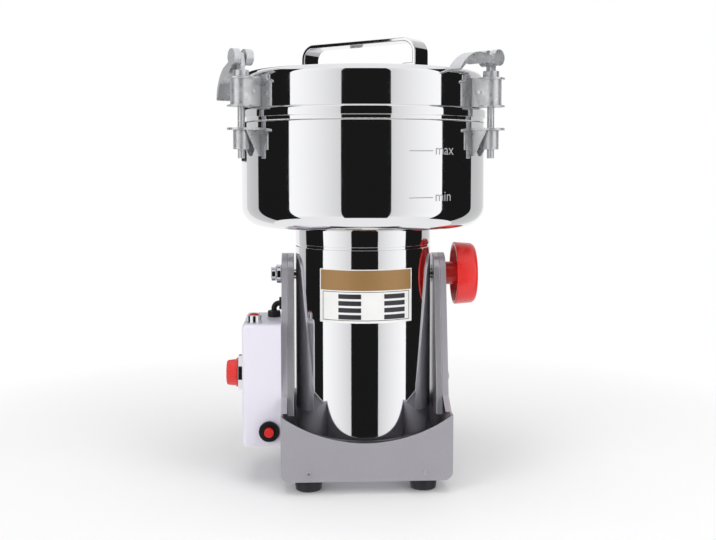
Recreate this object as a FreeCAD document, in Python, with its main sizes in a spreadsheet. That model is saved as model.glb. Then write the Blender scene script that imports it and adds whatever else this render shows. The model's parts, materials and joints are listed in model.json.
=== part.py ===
import FreeCAD, Part
import math
import os
import re
import Sketcher

# Tilting electric grain mill: a barrel motor with a polished grinding bowl and clamped lid,
# hung between the two arms of a sheet metal stand. Millimetres, Z up, front towards -Y.

doc = FreeCAD.newDocument("grain_mill")
sheet = doc.addObject("Spreadsheet::Sheet", "Sizes")

SIZES = {
    # Stand
    "foot_height": 12.4,
    "foot_radius": 13,
    "foot_place": 52.5,
    "stand_half_width": 77.5,
    "stand_half_depth": 73,
    "stand_wall": 1.5,
    "stand_corner": 8,
    "panel_arc_radius": 132,
    "panel_arc_height": 34.6,
    "shoulder_height": 54,
    "arm_base_height": 70,
    "arm_base_half": 42,
    "arm_top_radius": 20,
    "arm_seam": 72,
    "cheek_face": 66,
    "cheek_drop": 18,
    "bottom_flange": 30,
    "base_plate_wall": 2,
    "base_plate_inset": 6,
    "foot_well_radius": 4.6,
    "arm_screw_place": 30,
    "arm_screw_rise": 16,
    # Tilt pivot
    "pivot_height": 192,
    "pivot_pin_radius": 5,
    "bush_wall": 3,
    "nut_radius": 9,
    "nut_length": 10,
    "nut_cap": 2,
    "bolt_head_radius": 8,
    "bolt_head_height": 3.5,
    "bolt_seat_gap": 0.5,
    "knob_radius": 30,
    "knob_hub_radius": 11,
    "knob_hub_length": 9.5,
    "knob_length": 20,
    "knob_wall": 3,
    # Motor barrel
    "barrel_radius": 64.5,
    "barrel_drop": 148,
    "barrel_wall": 1.5,
    "barrel_round": 6,
    "groove_depth": 1,
    "groove_width": 2.4,
    "collar_height": 17,
    "label_height": 48.5,
    "label_half_angle": 40,
    "label_thickness": 0.4,
    "label_rise": 10.5,
    # Bowl
    "bowl_rise": 47,
    "bowl_radius": 115,
    "bowl_height": 96,
    "bowl_round": 19,
    "bowl_wall": 2,
    "seal_ring_wall": 6,
    "seal_ring_rise": 3,
    # Lid
    "lid_bead_reach": 1.2,
    "lid_bead_height": 12,
    "lid_bead_round": 2,
    "lid_wall_inset": 1.5,
    "lid_wall_height": 27,
    "lid_round": 7,
    "lid_crown": 5,
    "lid_sheet": 2,
    "seal_thickness": 3,
    "seal_width": 7,
    "seal_inset": 0.5,
    "handle_half_length": 66,
    "handle_width": 22,
    "handle_thickness": 3.5,
    "handle_rise": 77,
    "handle_corner": 14,
    "handle_turn": 39,
    "handle_foot": 14,
    # Lid clamps
    "clamp_reach": 13,
    "clamp_azimuth": 30,
    "rod_radius": 3.15,
    "rod_overhang": 8,
    "rod_end": 5,
    "bracket_half": 9.5,
    "bracket_sheet": 1.5,
    "bracket_plate_radius": 12.5,
    "bracket_height": 26,
    "bracket_seat": 0.2,
    "rivet_head": 1.2,
    "ledge_drop": 6,
    "ledge_thickness": 2,
    "gusset_height": 23,
    "gusset_gap": 1,
    "rod_nut_radius": 7.2,
    "rod_nut_length": 17,
    "barrel_nut_radius": 7.2,
    "barrel_nut_height": 5.6,
    "tongue_thickness": 4.4,
    "tongue_width": 8.4,
    "pin_rise": 17.4,
    "pin_radius": 2,
    "pin_inset": 0.2,
    "lever_head_radius": 7.2,
    "lever_width": 19,
    "lever_reach": 50,
    "lever_drop": 12.5,
    # Rotor and motor
    "shaft_radius": 6,
    "shaft_bottom": 12,
    "shaft_tip": 2,
    "armature_radius": 27,
    "armature_height": 56,
    "stator_radius": 58,
    "stator_gap": 0.8,
    "stator_rise": 40,
    "commutator_radius": 14,
    "commutator_height": 14,
    "commutator_gap": 1,
    "brush_width": 9,
    "bearing_radius": 16,
    "bearing_height": 10,
    "bearing_rise": 14,
    "bearing_drop": 4,
    "fan_radius": 52,
    "fan_height": 12,
    "fan_gap": 8,
    "fan_hub_wall": 6,
    "fan_sheet": 1.5,
    "blade_reach": 96,
    "blade_width": 24,
    "blade_thickness": 3,
    "blade_rise": 6,
    "blade_spacer_wall": 4,
    "blade_spacer_height": 12,
    "blade_nut_radius": 10,
    "blade_nut_height": 9,
    # Control box
    "box_front": 42,
    "box_rear": 36,
    "box_depth": 36,
    "box_below_pivot": 42,
    "box_height": 114,
    "box_wall": 2,
    "box_corner": 4,
    "timer_rise": 62,
    "timer_forward": 3,
    "timer_radius": 13.8,
    "timer_knob_length": 11,
    "timer_bezel_radius": 17,
    "timer_bezel_length": 5.5,
    "timer_body_depth": 22,
    "timer_body_size": 40,
    "spindle_radius": 4,
    "spindle_tail": 6,
    "lamp_radius": 7,
    "lamp_height": 9,
    "lamp_place": 25,
    "lamp_back": 14,
    "button_bezel_radius": 9.5,
    "button_bezel_length": 3,
    "button_place": 11.2,
    "button_rise": 15,
    "button_radius": 4.4,
    "button_stand": 4,
    "button_travel": 2.5,
    "button_tail": 4,
    "button_spare": 2,
    "breaker_depth": 26,
    "gland_radius": 6,
    "gland_height": 6,
    "gland_inset": 2,
    "gland_back": 6,
    "inlet_rise": 24,
    "inlet_flange": 2,
    "inlet_tail": 3,
    "lead_radius": 2.6,
    "lead_rise": 2,
    # Fits
    "running_clearance": 0.05,
    "turning_gap": 0.3,
    "loose_clearance": 0.35,
    "screw_radius": 2,
    "screw_head_radius": 3.6,
    "screw_head_height": 1.6,
    # The mill's axis stands this far from the middle of its own outline
    "axis_right": 7.4,
    "axis_forward": 12.1,
}

for row, (name, amount) in enumerate(SIZES.items(), start=1):
    sheet.set(f"A{row}", name)
    sheet.set(f"B{row}", str(amount))
    sheet.setAlias(f"B{row}", name)
doc.recompute()

# Heights and places that several pieces share
barrel_bottom = "(pivot_height - barrel_drop)"
bowl_floor = "(pivot_height + bowl_rise)"
bowl_rim = f"({bowl_floor} + bowl_height)"
lid_base = f"({bowl_rim} + turning_gap)"
lid_shoulder = f"({lid_base} + lid_bead_height)"
lid_top = f"({lid_shoulder} + lid_wall_height)"
lid_wall_radius = "(bowl_radius - lid_wall_inset)"
bracket_base = f"({lid_shoulder} + bracket_seat)"
bracket_top = f"({bracket_base} + bracket_height)"
pin_height = f"({bracket_top} + pin_rise)"
ledge_top = f"({bowl_rim} - ledge_drop)"
ledge_base = f"({ledge_top} - ledge_thickness)"
arc_side_rise = "(panel_arc_radius - sqrt(panel_arc_radius^2 - stand_half_width^2))"
barrel_inner = "(barrel_radius - barrel_wall)"
clamp_circle = "(bowl_radius + clamp_reach)"
box_top = "(pivot_height - box_below_pivot)"
box_low = f"({box_top} - box_height)"
box_inner_x = "stand_half_width"
box_outer_x = f"({box_inner_x} + box_depth)"
shaft_low = f"({barrel_bottom} + shaft_bottom)"
blade_low = f"({bowl_floor} + bowl_wall + blade_rise)"


def sized(expression):
    """The expression with each size's name pointing at the sheet."""
    def cell(match):
        return f"Sizes.{match.group()}" if match.group() in SIZES else match.group()
    return re.sub(r"[a-z][a-z_0-9]*", cell, str(expression))


def number(expression):
    found = sheet.evalExpression(sized(expression))
    return float(getattr(found, "Value", found))


def bind(item, setting, expression):
    item.setExpression(setting, sized(expression))


def place(item, at=("0", "0", "0"), turn=None):
    for letter, expression in zip("xyz", at):
        bind(item, f"Placement.Base.{letter}", expression)
    if turn:
        item.Placement.Rotation = turn
    return item


ALONG_X = FreeCAD.Rotation(FreeCAD.Vector(0, 1, 0), 90)
ALONG_Y = FreeCAD.Rotation(FreeCAD.Vector(1, 0, 0), -90)


def cylinder(name, radius, height, at=("0", "0", "0"), turn=None):
    item = doc.addObject("Part::Cylinder", name)
    bind(item, "Radius", radius)
    bind(item, "Height", height)
    return place(item, at, turn)


def block(name, size, at):
    item = doc.addObject("Part::Box", name)
    for setting, expression in zip(("Length", "Width", "Height"), size):
        bind(item, setting, expression)
    return place(item, at)


def fuse(name, *items):
    item = doc.addObject("Part::MultiFuse", name)
    item.Shapes = list(items)
    return item


def group(name, *items):
    item = doc.addObject("Part::Compound", name)
    item.Links = list(items)
    return item


def cut(name, base, *tools):
    item = doc.addObject("Part::Cut", name)
    item.Base = base
    item.Tool = tools[0] if len(tools) == 1 else fuse(name + "_tools", *tools)
    return item


def common(name, first, second):
    item = doc.addObject("Part::MultiCommon", name)
    item.Shapes = [first, second]
    return item


def tube(name, outer, inner, height, at=("0", "0", "0"), turn=None):
    solid = cylinder(name + "_outside", outer, height, at, turn)
    hole = cylinder(name + "_bore", inner, height, at, turn)
    return cut(name, solid, hole)


def plane(body, role):
    return next(item for item in body.Origin.OriginFeatures if item.Role == role)


def outline(body, role, points, lift="0"):
    """A closed sketch. A point is (x, y), or (x, y, radius, side) where an arc leads to it:
    side 1 bends the path to the left of its travel, -1 to the right."""
    item = body.newObject("Sketcher::SketchObject", body.Name + "_outline")
    item.AttachmentSupport = [(plane(body, role), "")]
    item.MapMode = "FlatFace"
    bind(item, "AttachmentOffset.Base.z", lift)
    spots = [FreeCAD.Vector(number(p[0]), number(p[1]), 0) for p in points]
    for index, spot in enumerate(spots):
        start = spots[index - 1]
        if len(points[index]) == 2:
            item.addGeometry(Part.LineSegment(start, spot), False)
        else:
            radius, side = number(points[index][2]), points[index][3]
            chord = spot - start
            square = FreeCAD.Vector(-chord.y, chord.x, 0) * (1 / chord.Length)
            depth = math.sqrt(max(radius ** 2 - chord.Length ** 2 / 4, 0))
            centre = (start + spot) * 0.5 + square * depth * side
            circle = Part.Circle(centre, FreeCAD.Vector(0, 0, 1), radius)
            first, last = (start, spot) if side > 0 else (spot, start)
            item.addGeometry(Part.ArcOfCircle(
                circle, circle.parameter(first), circle.parameter(last)), False)
    count = len(points)
    backwards = [len(p) == 4 and p[3] < 0 for p in points]
    for index in range(count):
        here, after = index, (index + 1) % count
        ends = (1 if backwards[here] else 2, 2 if backwards[after] else 1)
        item.addConstraint(Sketcher.Constraint("Coincident", here, ends[0], after, ends[1]))
        for word, value, expression in (
            ("DistanceX", spots[index].x, points[index][0]),
            ("DistanceY", spots[index].y, points[index][1]),
        ):
            row = item.addConstraint(
                Sketcher.Constraint(word, -1, 1, here, ends[0], value))
            bind(item, f"Constraints[{row}]", expression)
        if len(points[index]) == 4:
            row = item.addConstraint(
                Sketcher.Constraint("Radius", here, number(points[index][2])))
            bind(item, f"Constraints[{row}]", points[index][2])
    return item


def new_body(name):
    return doc.addObject("PartDesign::Body", name)


def pad(body, sketch, length, both_ways=False):
    item = body.newObject("PartDesign::Pad", body.Name + "_pad")
    item.Profile = sketch
    bind(item, "Length", length)
    item.Midplane = both_ways
    body.Tip = item
    return item


def turned(name, points, role="XZ_Plane"):
    """A solid of revolution about Z, from (radius, height) points."""
    body = new_body(name)
    sketch = outline(body, role, points)
    item = body.newObject("PartDesign::Revolution", name + "_turn")
    item.Profile = sketch
    item.ReferenceAxis = (sketch, ["V_Axis"])
    item.Angle = 360
    body.Tip = item
    return body


nodes = {}


def node(name, item):
    item.Label = name
    nodes[name] = item
    return item


# Stand: front and rear panels with one round cut, side walls that rise as tapered arms
low = "foot_height"
arc_low = "(foot_height + panel_arc_height)"
arc_side = f"({arc_low} + {arc_side_rise})"


def stand_front(body, inset, top):
    """Front outline of the base, inset by a wall, closed at the top by the panel arc or a line."""
    wide = f"(stand_half_width - {inset})"
    floor = f"({low} + {inset})"
    corner = f"(stand_corner - {inset})"
    points = [
        (f"-{wide}", f"{floor} + {corner}"),
        (f"-{wide} + {corner}", floor, corner, 1),
        (f"{wide} - {corner}", floor),
        (wide, f"{floor} + {corner}", corner, 1),
        (wide, top),
    ]
    if inset == "0":
        points += [("0", arc_low, "panel_arc_radius", -1),
                   (f"-{wide}", top, "panel_arc_radius", -1)]
    else:
        points += [(f"-{wide}", top)]
    return outline(body, "XZ_Plane", points)


def arm_outline(body, inset, foot, lift, shoulder=True):
    """Side outline of an arm: straight tapered flanks that run into a round top."""
    crown = f"(arm_top_radius - {inset})"
    wide = f"(arm_base_half - {inset})"
    rise = "(pivot_height - foot_height - arm_base_height)"
    # where a line from the arm's base touches the round top
    reach = f"sqrt({wide}^2 + {rise}^2 - {crown}^2)"
    span = f"({wide}^2 + {rise}^2)"
    touch_y = f"({crown} * ({crown} * {wide} + {rise} * {reach}) / {span})"
    touch_z = f"({crown} * ({crown} * -{rise} + {wide} * {reach}) / {span})"
    base = f"({low} + arm_base_height)"
    points = [(f"-{touch_y}", f"pivot_height + {touch_z}"), (f"-{wide}", base)]
    if shoulder:
        points += [
            (f"-stand_half_depth + {inset}", f"{low} + shoulder_height"),
            (f"-stand_half_depth + {inset}", foot),
            (f"stand_half_depth - {inset}", foot),
            (f"stand_half_depth - {inset}", f"{low} + shoulder_height"),
        ]
    else:
        points += [(f"-{wide}", foot), (wide, foot)]
    points += [(wide, base), (touch_y, f"pivot_height + {touch_z}"),
               ("0", f"pivot_height + {crown}", crown, 1),
               (f"-{touch_y}", f"pivot_height + {touch_z}", crown, 1)]
    return outline(body, "YZ_Plane", points[1:], lift)


stand = new_body("stand_base")
pad(stand, stand_front(stand, "0", arc_side), "2 * stand_half_depth", True)
arms = []
for side, start in (("left", "-stand_half_width"), ("right", "arm_seam")):
    arm = new_body(f"stand_arm_{side}")
    pad(arm, arm_outline(arm, "0", f"{low} + stand_corner", start),
        "stand_half_width - arm_seam")
    arms.append(arm)
stand_solid = fuse("stand_solid", stand, *arms)
hollow = new_body("stand_hollow")
pad(hollow, stand_front(hollow, "stand_wall", "2 * pivot_height"),
    "2 * (stand_half_depth - stand_wall)", True)
between = block("between_arms",
                ("2 * stand_half_width", "2 * stand_half_depth", "2 * pivot_height"),
                ("-stand_half_width", "-stand_half_depth", arc_side))
base_hollow = cut("base_hollow", hollow, between)
arm_hollows = []
for side, start in (("left", "-stand_half_width + stand_wall"), ("right", "arm_seam")):
    arm = new_body(f"arm_hollow_{side}")
    pad(arm, arm_outline(arm, "stand_wall", f"{low} + 2 * stand_corner", start),
        "stand_half_width - arm_seam - stand_wall")
    arm_hollows.append(arm)
flange_hole = block("flange_hole",
                    ("2 * (stand_half_width - bottom_flange - stand_corner)",
                     "2 * (stand_half_depth - bottom_flange)", "3 * stand_wall"),
                    ("-(stand_half_width - bottom_flange - stand_corner)",
                     "-(stand_half_depth - bottom_flange)", f"{low} - stand_wall"))
pivot_bore = cylinder("pivot_bore", "pivot_pin_radius + bush_wall", "2.2 * stand_half_width",
                      ("-1.1 * stand_half_width", "0", "pivot_height"), ALONG_X)
foot_bores = [
    cylinder(f"foot_bore_{x}_{y}", "screw_radius", "foot_height + 3 * stand_wall",
             (f"{x} * foot_place", f"{y} * foot_place", "0"))
    for x in (-1, 1) for y in (-1, 1)]
node("stand_shell", cut("stand_shell", stand_solid, base_hollow, *arm_hollows,
                        flange_hole, pivot_bore, *foot_bores))

# Inner cheeks close each arm's channel on the barrel's side
for side, sign in (("left", -1), ("right", 1)):
    cheek = new_body(f"cheek_{side}")
    start = "-arm_seam" if sign < 0 else "cheek_face"
    pad(cheek, arm_outline(cheek, "0", f"{low} + arm_base_height - cheek_drop", start, False),
        "arm_seam - cheek_face")
    inner = new_body(f"cheek_hollow_{side}")
    start = "-arm_seam" if sign < 0 else "cheek_face + stand_wall"
    pad(inner, arm_outline(inner, "stand_wall",
                           f"{low} + arm_base_height - 1.5 * cheek_drop", start, False),
        "arm_seam - cheek_face - stand_wall")
    node(f"arm_cheek_{side}", cut(f"arm_cheek_{side}", cheek, inner, pivot_bore))

node("base_plate", cut("base_plate", block(
    "plate", ("2 * (stand_half_width - 2 * stand_corner)",
              "2 * (stand_half_depth - base_plate_inset)", "base_plate_wall"),
    ("-(stand_half_width - 2 * stand_corner)", "-(stand_half_depth - base_plate_inset)",
     f"{low} + stand_wall")), *foot_bores))

feet, foot_screws = [], []
for x in (-1, 1):
    for y in (-1, 1):
        spot = (f"{x} * foot_place", f"{y} * foot_place")
        puck = cylinder(f"puck_{x}_{y}", "foot_radius", "foot_height", (*spot, "0"))
        well = cylinder(f"well_{x}_{y}", "foot_well_radius", "foot_height / 2", (*spot, "0"))
        bore = cylinder(f"puck_bore_{x}_{y}", "screw_radius", "foot_height", (*spot, "0"))
        feet.append(cut(f"foot_{x}_{y}", puck, well, bore))
        stem = cylinder(f"foot_stem_{x}_{y}", "screw_radius",
                        "foot_height / 2 + stand_wall + base_plate_wall",
                        (*spot, "foot_height / 2"))
        head = cylinder(f"foot_head_{x}_{y}", "screw_head_radius", "screw_head_height",
                        (*spot, "foot_height / 2 - screw_head_height"))
        foot_screws.append(fuse(f"foot_screw_{x}_{y}", stem, head))
node("rubber_feet", group("rubber_feet", *feet))
node("foot_screws", group("foot_screws", *foot_screws))

# Screws seen as small heads on the panels and arms
panel_screws = []
for x in (-1, 1):
    for y in (-1, 1):
        start = "stand_half_depth" if y > 0 else "-stand_half_depth - screw_head_height"
        panel_screws.append(cylinder(
            f"panel_screw_{x}_{y}", "screw_head_radius * 0.6", "screw_head_height",
            (f"{x} * foot_place", start, f"{low} + stand_corner"), ALONG_Y))
node("panel_screws", group("panel_screws", *panel_screws))
node("arm_screws", group("arm_screws", *[
    cylinder(f"arm_screw_{y}", "screw_head_radius", "screw_head_height",
             ("stand_half_width", f"{y} * arm_screw_place",
              f"{low} + arm_base_height + arm_screw_rise"), ALONG_X)
    for y in (-1, 1)]))

# Tilt pivot
pivot = ("0", "pivot_height")
for side, start in (("left", "-stand_half_width"), ("right", "cheek_face")):
    node(f"pivot_bush_{side}", tube(
        f"pivot_bush_{side}", "pivot_pin_radius + bush_wall",
        "pivot_pin_radius + running_clearance", "stand_half_width - cheek_face",
        (start, *pivot), ALONG_X))
outer = "(stand_half_width + turning_gap)"
bolt_inner = f"({barrel_inner} - bolt_head_height - bolt_seat_gap)"
bolt = fuse(
    "left_bolt",
    cylinder("left_bolt_shank", "pivot_pin_radius",
             f"{outer} + nut_length - nut_cap - {bolt_inner}",
             (f"-{outer} - nut_length + nut_cap", *pivot), ALONG_X),
    cylinder("left_bolt_head", "bolt_head_radius", "bolt_head_height",
             (f"-{bolt_inner} - bolt_head_height", *pivot), ALONG_X))
node("pivot_bolt_left", bolt)
dome = fuse(
    "dome",
    cylinder("dome_collar", "nut_radius", "nut_length / 2",
             (f"-{outer} - nut_length / 2", *pivot), ALONG_X),
    cylinder("dome_cap", "nut_radius * 0.75", "nut_length",
             (f"-{outer} - nut_length", *pivot), ALONG_X))
dome_bore = cylinder("dome_bore", "pivot_pin_radius", "nut_length - nut_cap",
                     (f"-{outer} - nut_length + nut_cap", *pivot), ALONG_X)
node("pivot_nut_left", cut("pivot_nut_left", dome, dome_bore))
stud_end = f"({outer} + knob_hub_length + knob_length - 2 * knob_wall)"
node("pivot_stud_right", fuse(
    "right_stud",
    cylinder("right_stud_shank", "pivot_pin_radius", f"{stud_end} - {bolt_inner}",
             (bolt_inner, *pivot), ALONG_X),
    cylinder("right_stud_head", "bolt_head_radius", "bolt_head_height",
             (bolt_inner, *pivot), ALONG_X)))
disc_start = f"({outer} + knob_hub_length)"
knob_profile = [
    ("pivot_pin_radius + running_clearance", outer),
    ("knob_hub_radius", outer),
    ("knob_hub_radius", f"{disc_start} + knob_wall * 2"),
    ("knob_radius - 2 * knob_wall", f"{disc_start} + knob_wall * 2"),
    ("knob_radius - knob_wall", disc_start),
    ("knob_radius", disc_start),
    ("knob_radius", f"{disc_start} + knob_length - 2 * knob_wall"),
    ("knob_radius - 2 * knob_wall", f"{disc_start} + knob_length", "2 * knob_wall", 1),
    ("0", f"{disc_start} + knob_length"),
    ("0", f"{stud_end} + loose_clearance"),
    ("pivot_pin_radius + running_clearance", f"{stud_end} + loose_clearance"),
]
knob = turned("lock_knob_turned", knob_profile)
node("lock_knob", place(knob, ("0", "0", "pivot_height"), ALONG_X))

# Motor barrel: an open tube with a groove under its collar, closed below by a dished cap
groove = f"({bowl_floor} - collar_height)"
barrel_tube = turned("barrel_turned", [
    (barrel_inner, f"{barrel_bottom} + barrel_round"),
    ("barrel_radius", f"{barrel_bottom} + barrel_round"),
    ("barrel_radius", f"{groove} - groove_width"),
    ("barrel_radius - groove_depth", f"{groove} - groove_width"),
    ("barrel_radius - groove_depth", groove),
    ("barrel_radius", groove),
    ("barrel_radius", bowl_floor),
    (barrel_inner, bowl_floor),
])
trunnion_bore = cylinder("trunnion_bore", "pivot_pin_radius", "2.2 * barrel_radius",
                         ("-1.1 * barrel_radius", *pivot), ALONG_X)
node("motor_barrel", cut("motor_barrel", barrel_tube, trunnion_bore))
node("barrel_cap", turned("barrel_cap", [
    ("0", barrel_bottom),
    ("barrel_radius - barrel_round", barrel_bottom),
    ("barrel_radius", f"{barrel_bottom} + barrel_round", "barrel_round", 1),
    (barrel_inner, f"{barrel_bottom} + barrel_round"),
    ("barrel_radius - barrel_round", f"{barrel_bottom} + barrel_wall",
     "barrel_round - barrel_wall", -1),
    ("0", f"{barrel_bottom} + barrel_wall"),
]))
ring = tube("label_ring", "barrel_radius + label_thickness", "barrel_radius + running_clearance",
            "label_height", ("0", "0", "pivot_height + label_rise - label_height"))
slice_body = new_body("label_slice")
far = "(2 * barrel_radius)"
pad(slice_body, outline(slice_body, "XY_Plane", [
    ("0", "0"),
    (f"-{far} * sin(label_half_angle)", f"-{far} * cos(label_half_angle)"),
    (f"{far} * sin(label_half_angle)", f"-{far} * cos(label_half_angle)"),
]), "2 * pivot_height")
node("label_plate", common("label_plate", ring, slice_body))

# Grinding bowl with its rounded floor and shaft hole
shaft_hole = "(shaft_radius + loose_clearance)"
seal_outer = "(shaft_radius + seal_ring_wall)"
node("bowl_shell", turned("bowl_shell", [
    (seal_outer, bowl_floor),
    ("bowl_radius - bowl_round", bowl_floor),
    ("bowl_radius", f"{bowl_floor} + bowl_round", "bowl_round", 1),
    ("bowl_radius", bowl_rim),
    ("bowl_radius - bowl_wall", bowl_rim),
    ("bowl_radius - bowl_wall", f"{bowl_floor} + bowl_round"),
    ("bowl_radius - bowl_round", f"{bowl_floor} + bowl_wall", "bowl_round - bowl_wall", -1),
    (seal_outer, f"{bowl_floor} + bowl_wall"),
]))
node("shaft_seal", tube("shaft_seal", seal_outer, shaft_hole, "bowl_wall + seal_ring_rise",
                        ("0", "0", bowl_floor)))

# Lid: bead over the rim, straight wall, rounded edge, slightly crowned top, even sheet
bead = "(bowl_radius + lid_bead_reach)"
crown_edge = f"({lid_wall_radius} - lid_round)"
crown_radius = f"(({crown_edge}^2 + lid_crown^2) / (2 * lid_crown))"
under_edge = f"({lid_wall_radius} - lid_sheet - lid_round)"
under_radius = f"(({under_edge}^2 + lid_crown^2) / (2 * lid_crown))"
node("lid_shell", turned("lid_shell", [
    (f"{lid_wall_radius} - lid_sheet", f"{lid_base} + seal_thickness"),
    ("bowl_radius - seal_inset", f"{lid_base} + seal_thickness"),
    ("bowl_radius - seal_inset", lid_base),
    (bead, lid_base),
    (bead, f"{lid_shoulder} - lid_bead_round"),
    (f"{bead} - lid_bead_round", lid_shoulder, "lid_bead_round", 1),
    (lid_wall_radius, lid_shoulder),
    (lid_wall_radius, lid_top),
    (crown_edge, f"{lid_top} + lid_round", "lid_round", 1),
    ("0", f"{lid_top} + lid_round + lid_crown", crown_radius, 1),
    ("0", f"{lid_top} + lid_round + lid_crown - lid_sheet"),
    (under_edge, f"{lid_top} + lid_round - lid_sheet", under_radius, -1),
    (f"{lid_wall_radius} - lid_sheet", f"{lid_top} - lid_sheet", "lid_round", -1),
]))
node("lid_seal", tube("lid_seal", "bowl_radius - seal_inset", "bowl_radius - seal_width",
                      "seal_thickness", ("0", "0", lid_base)))

# Strap handle: one bent flat bar with two feet on the lid
handle_top = f"({bowl_rim} + handle_rise)"
crown_sphere = f"({lid_top} + lid_round + lid_crown - {crown_radius})"
leg = "(handle_half_length - handle_thickness)"
foot_level = (f"({crown_sphere} + sqrt({crown_radius}^2"
              f" - (handle_half_length - handle_foot)^2) + loose_clearance)")
handle = new_body("handle_bar")
pad(handle, outline(handle, "XZ_Plane", [
    ("-handle_half_length + handle_foot", foot_level),
    ("-handle_half_length + handle_foot", f"{foot_level} + handle_thickness"),
    (f"-{leg}", f"{foot_level} + handle_thickness"),
    (f"-{leg}", f"{handle_top} - handle_corner"),
    ("-handle_half_length + handle_corner", f"{handle_top} - handle_thickness",
     "handle_corner - handle_thickness", -1),
    ("handle_half_length - handle_corner", f"{handle_top} - handle_thickness"),
    (leg, f"{handle_top} - handle_corner", "handle_corner - handle_thickness", -1),
    (leg, f"{foot_level} + handle_thickness"),
    ("handle_half_length - handle_foot", f"{foot_level} + handle_thickness"),
    ("handle_half_length - handle_foot", foot_level),
    ("handle_half_length", foot_level),
    ("handle_half_length", f"{handle_top} - handle_corner"),
    ("handle_half_length - handle_corner", handle_top, "handle_corner", 1),
    ("-handle_half_length + handle_corner", handle_top),
    ("-handle_half_length", f"{handle_top} - handle_corner", "handle_corner", 1),
    ("-handle_half_length", foot_level),
]), "handle_width", True)
handle.Placement.Rotation = FreeCAD.Rotation(FreeCAD.Vector(0, 0, 1), -number("handle_turn"))
node("lid_handle", handle)

# Lid clamps: the same three times, 120 degrees apart
clamps = {"right": "-clamp_azimuth", "rear": "90", "left": "clamp_azimuth - 180"}
lever_places = {"right": (-139, 0), "rear": (0, 30), "left": (120, 30)}


def around(item, azimuth):
    """Moves a clamp piece, made with its rod on Z and +X outwards, to its rod's place."""
    bind(item, "Placement.Base.x", f"{clamp_circle} * cos({azimuth})")
    bind(item, "Placement.Base.y", f"{clamp_circle} * sin({azimuth})")
    item.Placement.Rotation = FreeCAD.Rotation(FreeCAD.Vector(0, 0, 1), number(azimuth))
    return item


ledge_root = "(clamp_reach + 0.3 * bracket_plate_radius)"
lid_brackets, bowl_brackets, rods, rod_nuts, rivets = [], [], [], [], []


def strap_outline(body, half, lift):
    """A strap bent round the rod, seen from above, with its legs running to the mill's axis."""
    return outline(body, "XY_Plane", [
        (f"-{clamp_circle}", f"-{half}"),
        ("0", f"-{half}"),
        (half, "0", half, 1),
        ("0", half, half, 1),
        (f"-{clamp_circle}", half),
    ], lift)


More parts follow.
